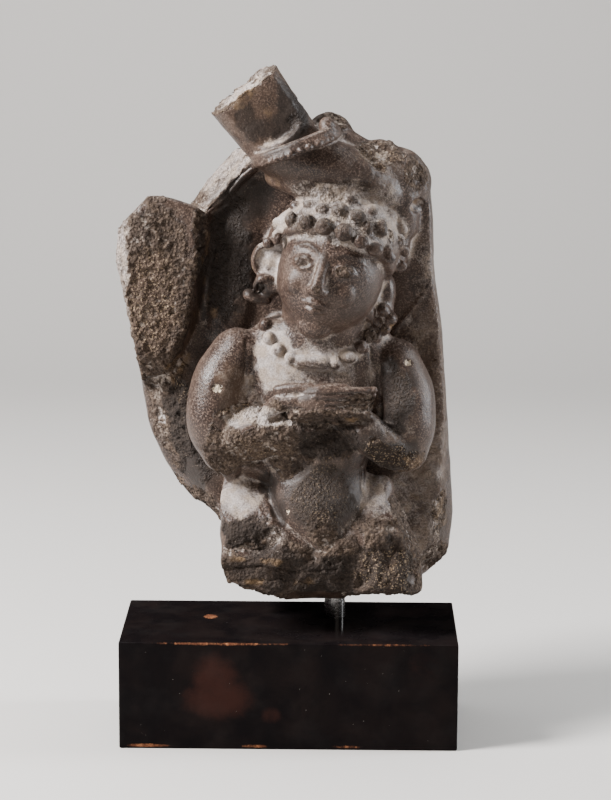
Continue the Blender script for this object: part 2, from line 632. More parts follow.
def overBreak(points, cut):  # how far points stand beyond the rough plane, and how much they are in reach
    centre, reach, onPlane, facing, rough, grain, *splits = cut
    facing = np.array(facing) / np.linalg.norm(facing)
    near = within(points, centre, reach, 0.16)
    chosen = np.nonzero(near > 0)[0]
    inside = points[chosen]
    beyond = (inside - onPlane) @ facing - rough * fractal(inside, grain)
    if splits:
        depth, pitch = splits
        level = inside[:, 2] + 2.5 * fractal(inside, 14, 2, 5)
        beyond += depth * ((level / pitch) % 1 - 0.5)
    return chosen, near[chosen], beyond, facing


def breakAway(points, cuts):
    for cut in cuts:
        chosen, near, beyond, facing = overBreak(points, cut)
        points[chosen] -= (np.maximum(beyond, 0) * near)[:, None] * facing
    return points


def carve(group, voxel, rounds, cuts):  # melts the forms into one skin, eases it and breaks it
    piece = pieceFrom(group, "carvedStone")
    modifier = piece.modifiers.new("carve", "REMESH")
    modifier.mode = "VOXEL"
    modifier.voxel_size = voxel
    mesh = applied(piece).data
    writePoints(mesh, relax(readPoints(mesh), readEdges(mesh), rounds))
    writePoints(mesh, breakAway(readPoints(mesh), cuts))
    return piece


def brokenMask(points):
    mask = np.zeros(len(points))
    for cut in breaks + fineBreaks:
        chosen, near, beyond, facing = overBreak(points, cut)
        mask[chosen] = np.maximum(mask[chosen], ease(near, 0.1, 0.8) * (1 - ease(abs(beyond), 0.8, 1.8)))
    return mask


# Fields that aren't cut by a plane: centre, size and strength

roughFields = [
    (-82, -1, 265, 34, 12, 66, 1.0),  # pecked face of the lobe
    (-76, 14, 182, 20, 18, 58, 1.0),
    (66, 0, 338, 24, 20, 20, 0.4),
    (36, -16, 344, 30, 16, 14, 0.34),
    (-38, 12, 288, 20, 16, 58, 0.5),  # slab beside the head
    (58, -34, 190, 24, 14, 12, 0.4),
    (73, -28, 171, 13, 14, 9, 1.0),
    (52, -14, 330, 16, 16, 16, 0.35),
    (*onFace(-0.4, 0.15), 6.5, 6, 4, 0.5),  # worn eyes and nose
    (*onFace(0.4, 0.15), 7, 6, 5, 0.8),
    (*onFace(0.02, -0.2, 4), 3.5, 5, 3.5, 0.7),
    (-18, -34, 178, 42, 22, 24, 0.9),
    (-16, -30, 199, 26, 12, 9, 0.6),
    (20, -38, 198, 38, 12, 8, 0.8),
    (16, -34, 184, 34, 12, 14, 0.85),
    (-52, 14, 172, 16, 16, 36, 0.5),  # lower left slab
    (4, -6, 372, 9, 16, 26, 0.5),  # forearm's right side
    (20, -36, 134, 14, 12, 17, 0.8),
    (-24, -28, 129, 21, 18, 11.5, 0.95),
    (18, -38, 106, 60, 18, 22, 0.8),
    (54, -26, 126, 22, 22, 18, 0.6),
    (46, -34, 330, 16, 14, 9, 0.4),
    (-24, -10, 372, 40, 30, 34, 0.16),  # forearm above the bangle
    (-32, -6, 392, 26, 26, 10, 0.5),
    (26, -30, 312, 46, 22, 18, 0.45),  # curls
    (22, -20, 329, 34, 20, 9, 0.6),
    (20, -34, 152, 30, 14, 26, 0.12),  # belly
    (-40, 26, 334, 28, 26, 24, 0.5),
    (84, 12, 200, 24, 10, 120, 0.4),
    (4, -26, 226, 30, 12, 14, 0.12),
]
mattFields = [  # worn dull, with no relief
    (20, -34, 150, 30, 16, 30, 0.5),  # belly
    (61, -26, 210, 14, 16, 34, 0.5),  # right arm's inner side
    (20, -26, 230, 34, 12, 20, 0.3),  # chest
    (-34, -26, 205, 12, 14, 30, 0.25),
]
peckFields = [
    (-82, -1, 265, 34, 14, 68, 1.0),
    (16, -42, 200, 34, 10, 8, 0.5),
    (-26, -34, 184, 26, 12, 16, 0.55),
    (73, -28, 171, 14, 14, 10, 1.0),
    (58, -36, 112, 32, 16, 22, 0.45),
    (26, -28, 314, 46, 24, 20, 0.3),
    (-32, -4, 392, 26, 26, 10, 0.5),
    (96, 10, 126, 12, 16, 26, 0.6),
    (92, 10, 215, 10, 14, 110, 0.4),
]
smoothFields = [
    (-16, -37, 105, 34, 14, 17, 0.6),  # split layers of the lap
    (-44, 26, 332, 30, 26, 26, 0.8),
]
dustFields = [
    (-10, -22, 230, 15, 12, 22, 1.0),  # chest, left
    (18, -26, 234, 34, 12, 9, 0.55),  # necklace
    (12, -24, 222, 36, 12, 15, 0.6),
    (88, 8, 240, 22, 14, 110, 0.33),
    (76, 8, 150, 22, 14, 70, 0.6),
    (30, -24, 262, 10, 8, 30, 0.1),
    (24, -24, 322, 44, 24, 14, 0.72),  # among the curls
    (58, -14, 308, 16, 20, 22, 0.8),
    (-4, -12, 314, 14, 16, 16, 0.8),
    (-17, -30, 198, 28, 14, 9, 1.0),  # forearm top
    (-24, -24, 206, 9, 10, 8, 0.8),
    (-22, -36, 184, 26, 14, 12, 0.22),
    (-30, -20, 144, 14, 18, 16, 0.9),  # left thigh
    (-10, -30, 127, 10, 12, 8, 0.5),
    (58, -34, 192, 20, 12, 8, 0.4),  # right forearm's top
    (50, -20, 148, 11, 16, 17, 0.7),  # right thigh
    (-28, 4, 268, 12, 10, 12, 0.5),  # behind the ear ornament
    (-13, -4, 289, 10, 10, 13, 0.7),  # ear
    (50, -10, 340, 20, 14, 11, 0.3),  # right part of the resting hand
    (47, -26, 214, 5, 12, 30, 0.85),  # fold beside the right arm
    (8, -34, 208, 12, 8, 8, 0.6),  # wrist
    (-95, 6, 300, 16, 30, 30, 0.25),
    (-34, -26, 212, 11, 14, 32, 0.28),  # left arm
    (-82, 14, 180, 10, 18, 50, 0.3),
]
facedDust = [  # only where the surface faces the way given
    ((-40, 26, 335, 30, 26, 28, 0.45), (-0.74, -0.29, 0.605)),  # upper left strip
    ((-30, -4, 388, 26, 24, 16, 0.62), (-0.6, -0.11, 0.785)),  # forearm's broken end
    ((-103, 6, 266, 12, 34, 70, 0.4), (-0.8, -0.6, 0.05)),  # lobe's outer edge
    ((-8, -20, 356, 26, 10, 7, 0.35), (0, -0.2, 1)),  # bangle's upper rim
]
ochreFields = [
    (-10, 4, 334, 16, 18, 14, 0.42),
    (-50, 10, 285, 9, 12, 40, 0.5),
    (-40, 4, 252, 24, 12, 7, 0.85),
    (92, 10, 132, 7, 14, 18, 0.55),
    (-20, 2, 282, 6, 10, 8, 0.7),
    (-68, 8, 216, 12, 12, 16, 0.7),
    (50, -22, 203, 4, 9, 8, 0.8),
    (71, 4, 318, 7, 9, 8, 0.7),
    (58, -6, 248, 8, 12, 6, 0.7),
    (-31, -36, 112, 9, 9, 3.6, 0.7),
    (-10, -36, 111, 10, 9, 4, 0.7),
    (-22, -36, 99, 11, 9, 3.5, 0.8),
    (10, -33, 99, 16, 9, 4, 0.6),
    (-28, -31, 173, 16, 9, 8, 0.5),
    (30, -38, 197, 18, 8, 5, 0.7),
    (73, -28, 172, 10, 12, 6, 0.8),
    (66, -36, 106, 16, 9, 9, 0.5),
    (52, -12, 335, 16, 12, 8, 0.4),
    (-34, -18, 380, 11, 9, 9, 0.55),
    (-14, -18, 374, 6, 9, 12, 0.55),
    (-22, -18, 386, 8, 9, 6, 0.6),
    (-8, -20, 346, 16, 12, 4, 0.4),  # under the bangle
]
hairFields = [(26, -24, 308, 46, 30, 26, 1.0)]
darkFields = [
    (-38, 14, 288, 20, 16, 58, 1.0),  # slab beside the head
    (-21, -6, 268, 9, 9, 10, 0.8),  # ear ornament
    (-26, 12, 322, 18, 18, 18, 1.0),
    (-53, 8, 272, 4.5, 14, 52, 0.9),  # lobe's inner edge
    (26, -34, 184, 32, 16, 15, 0.8),
    (-12, -20, 152, 10, 14, 10, 0.9),  # left thigh's inner side
    (-5, -22, 140, 8, 14, 11, 0.9),
    (-12, -34, 117, 22, 12, 5, 0.7),
    (-55, 14, 235, 10, 10, 40, 0.5),
    (-14, -36, 106, 40, 14, 17, 0.75),  # lap
    (22, -34, 100, 26, 16, 22, 0.8),
    (62, -36, 108, 32, 16, 24, 0.8),
    (-24, -28, 129, 21, 18, 11.5, 0.95),
    (20, -30, 150, 32, 16, 28, 0.7),  # belly
    (24, -36, 190, 34, 14, 9, 0.6),  # under the hands
    (60, -34, 176, 26, 14, 13, 0.85),  # right forearm
    (60, -26, 211, 15, 16, 34, 0.85),
    (20, -40, 213, 24, 9, 5, 0.45),  # fingers
    (92, 12, 132, 8, 16, 26, 0.45),  # lower right bevel
    (38, -34, 266, 14, 14, 20, 0.4),
    (-84, -2, 268, 28, 12, 56, 0.3),  # lobe
    (-52, 14, 170, 14, 16, 30, 0.5),
    (-6, -20, 366, 18, 12, 9, 0.88),
    (0, -14, 372, 13, 16, 28, 0.95),  # forearm above the bangle, right side
    (-18, -18, 364, 16, 10, 9, 0.75),
    (-27, -18, 372, 8, 9, 10, 0.6),
    (-2, -26, 353, 26, 10, 9, 0.6),  # bangle
    (24, -18, 334, 30, 14, 12, 0.35),  # under the resting hand
    (28, -38, 200, 26, 8, 6, 0.5),
    (-64, 12, 172, 24, 18, 46, 0.95),
    (36, -16, 340, 30, 16, 16, 0.4),
]
brownFields = [
    (-24, -18, 374, 30, 20, 28, 0.6),  # forearm's broken end
    (-82, -2, 262, 22, 12, 44, 0.7),
    (60, -36, 106, 30, 16, 20, 0.7),
    (60, -34, 178, 26, 14, 12, 0.7),
    (73, -28, 168, 12, 14, 8, 1.0),
    (66, -24, 205, 12, 12, 28, 0.4),
    (-34, -26, 205, 14, 14, 34, 0.9),
    (20, -34, 154, 28, 14, 28, 0.6),
    (40, -8, 344, 34, 18, 16, 0.65),
    (84, 10, 190, 26, 12, 110, 0.7),
    (-18, 0, 284, 9, 9, 14, 0.4),
    (-62, 14, 230, 16, 12, 50, 0.6),
    (-18, -34, 178, 26, 9, 12, 0.6),
]


def fields(points, places):
    total = np.zeros(len(points))
    for *place, strength in places:
        total = np.maximum(total, strength * ragged(points, place[:3], place[3:], 0.7, 0.45))
    return total


def inwards(points, normals, places, uneven):
    for *place, depth in places:
        points -= normals * (depth * ragged(points, place[:3], place[3:], 0.8, uneven))[:, None]
    return points


# Cut lines: path as (x, z) on the front, width, depth, and how far back the line reaches

lines = [
    ([(16, 213.6), (34, 213.8), (50, 213.6)], 0.9, 1.1, -30),  # between the fingers
    ([(16, 210.2), (34, 210.3), (49, 210.1)], 0.9, 1.1, -30),
    ([(22, 206.8), (34, 206.8), (48, 206.7)], 0.9, 1.0, -30),
    ([(-8, 211.5), (2, 212.5), (14, 213.5)], 0.9, 0.9, -26),  # under the thumb
    ([(-26, 240), (-26, 224), (-25.5, 205)], 1.8, 0.9, -10),  # beside the left arm
    ([(47, 236), (47.5, 220), (46, 201)], 1.4, 0.9, -10),  # beside the right arm
    ([(-24.2, 339.5), (-30.4, 334.8), (-37.5, 325.7), (-43.4, 318.0), (-52.3, 311.4)],
     1.5, 1.6, 22),  # under the upper left strip
    ([(-11, 166), (-10, 152), (-7, 141), (0, 131)], 0.9, 0.5, -8),
    ([(42.5, 166), (43.5, 150), (41, 137)], 0.9, 0.5, -8),
    ([(-31, 156), (-22.5, 146.5), (-13, 134.5), (-5, 126)], 0.8, -0.5, -4),  # left thigh's inner edge, raised
    ([(-38, 117.5), (-17, 119.5), (6, 116.5), (30, 118)], 1.0, 0.9, -20),  # split layers
    ([(-37, 105.5), (-16, 109), (6.5, 104.5), (29, 107.5)], 1.0, 1.1, -20),
    ([(-32, 98.5), (-5, 101), (21, 96)], 0.9, 0.9, -20),
]


def engrave(points, normals, wander):
    for path, width, depth, reach in lines:
        ends = np.array(path)
        flat = points[:, [0, 2]] + wander
        near = np.full(len(points), 9e9)
        for first, last in zip(ends[:-1], ends[1:]):
            along = last - first
            t = np.clip((flat - first) @ along / (along @ along), 0, 1)
            near = np.minimum(near, np.linalg.norm(flat - first - t[:, None] * along, axis=1))
        mask = (1 - ease(near, 0, width)) * (points[:, 1] < reach) * (normals[:, 1] < 0.2)
        points = points - normals * (depth * mask)[:, None]
    return points


surface = {
    "swell": 0.3, "ripple": 0.1, "grain": 0.05,  # how far the polished skin wavers, in mm
    "lumps": 0.75, "wideFacets": 0.25,  # relief of broken stone, in mm
    "sharpFacets": 0.75, "sharpGrain": 0.16,
    "peckSize": 2.3,
    "nearRounds": 14, "farRounds": 110,  # smoothing that finds narrow and wide hollows
    "curlWear": (2.6, 6, 2.2, 0.6),  # size and depth
    "wornCurlArea": 16,
    "backRoughness": 0.6,
    "curlPolish": 0.66,
    "ledgeDust": 0.22,
}


def finishSurface(piece):  # returns the fields that the material reads
    mesh = piece.data
    edges = readEdges(mesh)
    points, normals = readPoints(mesh), readNormals(mesh)
    wornCurls = [(x + 1.4 * math.sin(x * 5), hairFront(x, z) - 3, z + 1.2 * math.cos(x * 3),
                  *surface["curlWear"])
                 for x, z, wide, tall, rise in curlPlaces if wide * tall > surface["wornCurlArea"]]
    for places, uneven in ((hollows, 0.2), (chips, 0.5), (wornCurls, 1.4)):
        points = inwards(points, normals, places, uneven)
    wander = 0.8 * np.stack([fractal(points, 9, 2, 4.4), fractal(points, 9, 2, 6.6)], axis=1)
    points = engrave(points, normals, wander)

    backward = surface["backRoughness"] * ease(normals[:, 1], 0.1, 0.7) * ease(points[:, 1], 12, 26)
    rough = np.maximum.reduce([brokenMask(points), fields(points, roughFields), backward])
    chipped = np.minimum(1, 2 * fields(points, [(*chip[:6], 1) for chip in chips]))
    front = 1 - ease(points[:, 1], 34, 46) * ease(normals[:, 1], -0.3, 0.3)
    pecked = fields(points, peckFields)
    soft = 1 - fields(points, smoothFields)
    swell = fractal(points, 16, 2, 1.7)
    grain = fractal(points, 3.2, 2, 8.2)
    ripple = fractal(points, 6, 2, 5.5)
    lift = surface["swell"] * swell + surface["ripple"] * ripple + surface["grain"] * grain
    worn = np.nonzero(rough > 0.04)[0]
    some = points[worn]
    relief = surface["lumps"] * fractal(some, 7.5, 3, 3.1) + surface["wideFacets"] * facets(some, 9, 2.2)
    peck = np.array([noise.voronoi(Vector(p) / surface["peckSize"])[0][0] for p in some]) - 0.45
    sharp = surface["sharpFacets"] * facets(some, 4.2, 6.1) + surface["sharpGrain"] * grain[worn]
    relief += front[worn] * soft[worn] * (sharp + (0.12 + 0.8 * pecked[worn]) * peck)
    lift[worn] += rough[worn] * relief
    points = points + normals * lift[:, None]
    writePoints(mesh, points)

    near = relax(points, edges, surface["nearRounds"])
    far = relax(near, edges, surface["farRounds"])
    normals = readNormals(mesh)
    fineHollow = ((near - points) * normals).sum(axis=1)
    wideHollow = ((far - points) * normals).sum(axis=1)
    patch = fractal(points, 13, 4, 11.3)
    faced = sum(fields(points, [place]) * ease(normals @ np.array(way), 0.7, 0.92)
                for place, way in facedDust)
    hair = fields(points, hairFields)
    proud = surface["curlPolish"] * ease(-fineHollow, -0.02, 0.14) * hair
    dark = fields(points, darkFields)
    hollow = ease(fineHollow + 0.35 * wideHollow, 0.12, 0.8) * (0.48 + 0.5 * patch + 0.4 * hair)
    lying = (fields(points, dustFields) * (0.75 + 0.6 * patch) * (1 - proud)
             + surface["ledgeDust"] * ease(normals[:, 2], 0.35, 0.9))
    return {
        "points": points,
        "rough": np.clip(np.maximum(rough, fields(points, mattFields)) + chipped, 0, 1),
        "dark": np.maximum(dark, proud),
        "brown": np.maximum(fields(points, brownFields), proud),
        "pale": np.clip(chipped + 0.3 * ease(-fineHollow, 0.1, 0.4) * rough * (1 - 0.9 * dark), 0, 1),
        "dust": np.clip(faced + (1 - 0.85 * dark) * (hollow + lying), 0, 1),
        "ochre": np.clip(fields(points, ochreFields) * (0.55 + 0.9 * patch)
                         + 0.3 * ease(wideHollow, 1.2, 3) * ease(patch, 0, 0.5), 0, 1),
    }


def thinOut(piece, triangles):
    modifier = piece.modifiers.new("thin", "DECIMATE")
    modifier.ratio = triangles / sum(len(p.vertices) - 2 for p in piece.data.polygons)
    return applied(piece)


def storeFinish(piece, finish):
    mesh = piece.data
    tree = kdtree.KDTree(len(finish["points"]))
    for i, point in enumerate(finish["points"]):
        tree.insert(point, i)
    tree.balance()
    nearest = np.array([tree.find(vert.co)[1] for vert in mesh.vertices])
    for name, keys in (("finish", ("rough", "dust", "ochre")), ("patina", ("pale", "dark", "brown"))):
        layer = mesh.color_attributes.new(name, "FLOAT_COLOR", "POINT")
        values = np.stack([finish[key][nearest] for key in keys] + [np.ones(len(nearest))], axis=1)
        layer.data.foreach_set("color", values.ravel())


# Node helpers: they build in the tree at hand, and an input may be a value or another node's socket

atHand = {"tree": None}


def part(kind, inputs=None, **settings):
    node = atHand["tree"].nodes.new(kind)
    for name, value in settings.items():
        setattr(node, name, value)
    for name, value in (inputs or {}).items():
        if isinstance(value, bpy.types.NodeSocket):
            atHand["tree"].links.new(value, node.inputs[name])
        else:
            node.inputs[name].default_value = value
    return node


def feed(inputs, **sockets):
    for name, socket in sockets.items():
        atHand["tree"].links.new(socket, inputs[name.replace("_", " ")])


def figure(operation, first, second=0.0, third=0.0):
    return part("ShaderNodeMath", {0: first, 1: second, 2: third}, operation=operation).outputs[0]


def times(first, second):
    return figure("MULTIPLY", first, second)


def timesPlus(first, second, third):
    return figure("MULTIPLY_ADD", first, second, third)


def most(first, second):
    return figure("MAXIMUM", first, second)


def span(value, low, high, toLow=0.0, toHigh=1.0):  # a smooth step from one range to another
    return part("ShaderNodeMapRange", {0: value, 1: low, 2: high, 3: toLow, 4: toHigh},
                interpolation_type="SMOOTHSTEP").outputs[0]


def blend(amount, first, second):  # between two colours
    first, second = [(*value, 1) if isinstance(value, tuple) else value for value in (first, second)]
    return part("ShaderNodeMix", {0: amount, 6: first, 7: second}, data_type="RGBA").outputs[2]


def mixValue(amount, first, second):
    return part("ShaderNodeMix", {0: amount, 2: first, 3: second}).outputs[0]


def placeOf(scale=(1, 1, 1), shift=(0, 0, 0)):
    coordinates = part("ShaderNodeTexCoord")
    return part("ShaderNodeMapping", {"Vector": coordinates.outputs["Object"], "Scale": scale,
                                      "Location": shift}).outputs[0]


def cloud(where, scale, detail=4, roughness=0.55, distortion=0):
    return part("ShaderNodeTexNoise", {"Vector": where, "Scale": scale, "Detail": detail,
                                       "Roughness": roughness, "Distortion": distortion}).outputs[0]


def cells(where, scale):  # distance from the nearest of scattered points
    return part("ShaderNodeTexVoronoi", {"Vector": where, "Scale": scale}).outputs["Distance"]


def raised(shader, height, depth, strength=1.0):
    bump = part("ShaderNodeBump", {"Strength": strength, "Distance": depth, "Height": height})
    feed(shader.inputs, Normal=bump.outputs[0])


def newGroup(name, takes, gives):
    group = bpy.data.node_groups.new(name, "ShaderNodeTree")
    for label, value in takes.items():
        socket = group.interface.new_socket(name=label, in_out="INPUT", socket_type="NodeSocketFloat")
        socket.default_value = value
    for label in gives:
        group.interface.new_socket(name=label, in_out="OUTPUT", socket_type="NodeSocketFloat")
    atHand["tree"] = group
    return group, group.nodes.new("NodeGroupInput").outputs, group.nodes.new("NodeGroupOutput").inputs


def grainGroup():  # cloudy mottling, fine grain and pits in one place
    group, takes, gives = newGroup("stoneGrain", {"Size": 0.0015, "Mottle size": 0.018},
                                   ("Grain", "Mottle", "Pits"))
    where = placeOf()
    fineScale = figure("DIVIDE", 1.0, takes["Size"])
    wideScale = figure("DIVIDE", 1.0, takes["Mottle size"])
    feed(gives, Grain=cloud(where, fineScale, 3, 0.65), Mottle=cloud(where, wideScale, 6, 0.62, 0.4),
         Pits=span(cells(where, fineScale), 0.15, 0.75))
    return group


def dustGroup():  # scattered specks and a soft film
    group, takes, gives = newGroup("settledDust", {"Speck size": 0.004, "Share": 0.05}, ("Specks", "Film"))
    where = placeOf()
    scale = figure("DIVIDE", 1.0, takes["Speck size"])
    near = cells(where, scale)
    reach = times(takes["Share"], span(cloud(where, times(scale, 0.12), 3), 0.4, 0.7, 0.4, 1.6))
    feed(gives, Specks=figure("LESS_THAN", near, reach),
         Film=span(cloud(where, times(scale, 0.3), 5), 0.42, 0.75))
    return group


sharedGrain, sharedDust = grainGroup(), dustGroup()


def useGroup(group, values):
    node = part("ShaderNodeGroup", node_tree=group)
    for socket, value in zip(node.inputs, values):
        socket.default_value = value
    return node.outputs


def newMaterial(name, **fixed):
    material = bpy.data.materials.new(name)
    material.use_nodes = True
    atHand["tree"] = material.node_tree
    shader = material.node_tree.nodes["Principled BSDF"]
    for label, value in fixed.items():
        shader.inputs[label.replace("_", " ")].default_value = value
    return material, shader


# In each look, grain holds the sizes of the grain and of the mottle in metres, specks their size and share,
# and shares say how strongly a layer covers what lies below it.

schistLook = {
    "polished": (0.0165, 0.0100, 0.0080),
    "polishedWarm": (0.040, 0.0250, 0.0180),
    "polishedSpeck": (0.122, 0.085, 0.066),
    "broken": (0.028, 0.0185, 0.0130),
    "brokenPale": (0.105, 0.075, 0.054),
    "soot": (0.010, 0.0070, 0.0055),
    "brown": (0.066, 0.042, 0.028),
    "dust": (0.335, 0.302, 0.285),
    "dustWarm": (0.26, 0.212, 0.172),
    "ochre": (0.150, 0.096, 0.052),
    "chip": (0.55, 0.46, 0.35),
    "fleck": (0.27, 0.20, 0.13),
    "grain": (0.0020, 0.022),
    "fineGrain": (0.0010, 0.0065),
    "specks": (0.0026, 0.075),
    "fleckScale": 900,
    "layerScale": 45,
    "brownShare": 0.62,
    "sootShare": 0.8,
    "ochreShare": 0.75,
    "fleckShare": 0.65,
    "chipShare": 0.8,
    "speckShare": 0.22,
    "shine": 0.26,
    "polishedRoughness": (0.28, 0.54),
    "mattRoughness": 0.92,
    "relief": 0.0012,
}


def schistMaterial():
    look = schistLook
    material, shader = newMaterial("schist", Specular_IOR_Level=look["shine"])

    def stored(layer):
        colour = part("ShaderNodeVertexColor", layer_name=layer).outputs[0]
        return part("ShaderNodeSeparateColor", {0: colour}).outputs

    (rough, dust, ochre), (pale, dark, brown) = stored("finish"), stored("patina")
    grain, fine = useGroup(sharedGrain, look["grain"]), useGroup(sharedGrain, look["fineGrain"])
    layers = cloud(placeOf((1, 1, 4)), look["layerScale"], 5, 0.6, 0.6)
    specks = useGroup(sharedDust, look["specks"])
    flecks = cloud(placeOf(), look["fleckScale"], 2, 0.5)

    def edged(mask, by, amount):  # a mask whose border follows a texture
        return figure("ADD", mask, timesPlus(by, amount, -amount / 2))

    bare = blend(span(grain["Mottle"], 0.36, 0.68), look["polished"], look["polishedWarm"])
    bare = blend(span(fine["Grain"], 0.46, 0.68, 0, 0.8), bare, look["polishedSpeck"])
    broken = blend(span(grain["Grain"], 0.34, 0.72), look["broken"], look["brokenPale"])
    broken = blend(span(fine["Mottle"], 0.42, 0.66, 0, 0.6), broken, look["polished"])
    broken = blend(span(layers, 0.35, 0.62, 0.45, 0), broken, look["broken"])
    roughMask = span(edged(rough, grain["Grain"], 0.6), 0.2, 0.75)
    brownMask = span(edged(brown, fine["Mottle"], 1.1), 0.25, 1.0, 0, look["brownShare"])
    darkMask = span(edged(dark, grain["Mottle"], 1.2), 0.05, 0.95, 0, look["sootShare"])
    dustEdge = edged(edged(dust, grain["Grain"], 0.7), fine["Mottle"], 0.7)
    dustMask = times(span(dustEdge, 0.12, 0.8), span(fine["Grain"], 0.32, 0.66, 0.55, 1))
    dusty = blend(span(fine["Mottle"], 0.38, 0.62), look["dust"], look["dustWarm"])
    ochreMask = span(edged(ochre, fine["Mottle"], 1.2), 0.3, 0.95, 0, look["ochreShare"])
    fleckMask = times(span(flecks, 0.56, 0.66), times(span(brown, 0.3, 0.8), roughMask))
    fleckMask = times(fleckMask, look["fleckShare"])
    paleMask = most(span(edged(pale, fine["Grain"], 0.5), 0.3, 0.9, 0, look["chipShare"]),
                    times(specks["Specks"], look["speckShare"]))
    colour = bare
    for mask, over in ((roughMask, broken), (brownMask, look["brown"]), (darkMask, look["soot"]),
                       (dustMask, dusty), (ochreMask, look["ochre"]), (fleckMask, look["fleck"]),
                       (paleMask, look["chip"])):
        colour = blend(mask, colour, over)

    matt = most(most(roughMask, dustMask), times(darkMask, 0.25))
    gloss = span(edged(grain["Mottle"], fine["Grain"], 0.9), 0.2, 0.8, *look["polishedRoughness"])
    feed(shader.inputs, Base_Color=colour, Roughness=mixValue(matt, gloss, look["mattRoughness"]))

    coarse = timesPlus(grain["Grain"], 0.6, times(grain["Pits"], 0.5))
    strength = span(timesPlus(dustMask, 0.35, roughMask), 0.3, 1, 0.1, 1.0)
    fineShare = times(fine["Grain"], span(strength, 0.1, 1, 0.17, 0.4))
    raised(shader, timesPlus(coarse, strength, fineShare), look["relief"])
    return material


steelLook = {
    "bright": (0.62, 0.61, 0.60),
    "dull": (0.40, 0.39, 0.385),
    "marks": (0.3, 0.27, 0.24),
    "grain": (0.0009, 0.009),
    "specks": (0.003, 0.06),
    "markShare": 0.6,
    "lineScale": 500,
    "roughness": (0.12, 0.3),
    "relief": 0.00008,
}


def steelMaterial():
    look = steelLook
    material, shader = newMaterial("polishedSteel", Metallic=1.0)
    drawn = cloud(placeOf((1, 1, 9)), look["lineScale"], 3, 0.6)  # fine lines round the rod
    wear, marks = useGroup(sharedGrain, look["grain"]), useGroup(sharedDust, look["specks"])
    colour = blend(span(wear["Mottle"], 0.4, 0.7), look["bright"], look["dull"])
    colour = blend(times(marks["Specks"], look["markShare"]), colour, look["marks"])
    feed(shader.inputs, Base_Color=colour, Roughness=span(drawn, 0.3, 0.7, *look["roughness"]))
    raised(shader, drawn, look["relief"], 0.25)
    return material


lacquerLook = {
    "film": (0.0034, 0.0027, 0.0030),
    "filmWarm": (0.0066, 0.0046, 0.0044),
    "rubbed": (0.022, 0.0090, 0.0070),
    "worn": (0.090, 0.034, 0.018),
    "bareEdge": (0.25, 0.105, 0.050),
    "dust": (0.42, 0.39, 0.36),
    "grain": (0.0011, 0.03),
    "edgeGrain": (0.0022, 0.007),
    "specks": (0.005, 0.03),
    "rubbedShare": 0.9,
    "bareShare": 0.8,
    "speckShare": 0.35,
    "dustShare": 0.005,
    "coat": 0.048,
    "coatRoughness": 0.08,
    "gloss": (0.17, 0.22),
    "relief": 0.0003,
    "rubbedPatches": [  # middle and half size, in metres, and strength
        ((-0.041, -0.047, 0.031), (0.027, 0.004, 0.017), 1.0),
        ((-0.043, -0.047, 0.042), (0.018, 0.004, 0.022), 1.0),
        ((-0.010, -0.047, 0.021), (0.009, 0.004, 0.007), 0.7),
        ((0.080, -0.047, 0.052), (0.020, 0.004, 0.014), 0.4),
    ],
    "bareSpots": [
        ((-0.0485, 0.010, 0.065), (0.006, 0.007, 0.003), 1.0),
        ((-0.083, -0.047, 0.002), (0.017, 0.004, 0.0016), 1.0),
        ((-0.020, -0.047, 0.002), (0.013, 0.004, 0.0016), 0.9),
        ((0.034, -0.047, 0.002), (0.012, 0.004, 0.0016), 0.9),
        ((-0.040, -0.0465, 0.0645), (0.062, 0.0015, 0.0015), 0.85),
        ((0.055, -0.0465, 0.0645), (0.050, 0.0015, 0.0015), 0.7),
        ((0.075, 0.02, 0.065), (0.012, 0.012, 0.003), 0.3),
    ],
}


def patches(places):  # the strongest of several soft ovals
    mask = 0.0
    for middle, half, strength in places:
        where = placeOf(tuple(1 / h for h in half), tuple(-m / h for m, h in zip(middle, half)))
        reach = part("ShaderNodeVectorMath", {0: where}, operation="LENGTH").outputs["Value"]
        mask = most(mask, times(span(reach, 0.25, 1.25, 1, 0), strength))
    return mask


def lacquerMaterial():
    look = lacquerLook
    material, shader = newMaterial("darkLacquer", Coat_Roughness=look["coatRoughness"],
                                   Specular_IOR_Level=0.0)
    grain, edges = useGroup(sharedGrain, look["grain"]), useGroup(sharedGrain, look["edgeGrain"])
    specks = useGroup(sharedDust, look["specks"])
    ragged = timesPlus(edges["Mottle"], 1.5, timesPlus(grain["Grain"], 0.5, -1.0))
    smeared = span(timesPlus(ragged, 0.45, patches(look["rubbedPatches"])), 0.25, 1.1)
    bare = span(timesPlus(ragged, 0.9, patches(look["bareSpots"])), 0.5, 1.05)
    film = blend(span(grain["Mottle"], 0.35, 0.7), look["film"], look["filmWarm"])
    film = blend(times(smeared, look["rubbedShare"]), film, look["rubbed"])
    worn = blend(span(edges["Grain"], 0.45, 0.65), look["worn"], look["bareEdge"])
    dusty = most(times(specks["Specks"], look["speckShare"]), times(specks["Film"], look["dustShare"]))
    colour = blend(dusty, blend(times(bare, look["bareShare"]), film, worn), look["dust"])
    gloss = mixValue(most(bare, dusty), span(grain["Mottle"], 0.3, 0.7, *look["gloss"]), 0.6)
    feed(shader.inputs, Base_Color=colour, Roughness=gloss, Coat_Weight=mixValue(bare, look["coat"], 0.0))
    raised(shader, timesPlus(grain["Grain"], 0.12, times(bare, -0.8)), look["relief"], 0.35)
    return material


print("stone: broad forms")
broad = bmesh.new()
for make in (slabBody, fractureLobe, topLumps, shaft, restingHand, forearmStub, headShape, hairCap, ears,
             trunk, upperArms, forearms, legs):
    make(broad)
stone = carve(broad, carving["broadVoxel"], carving["broadRelax"], planes + breaks)

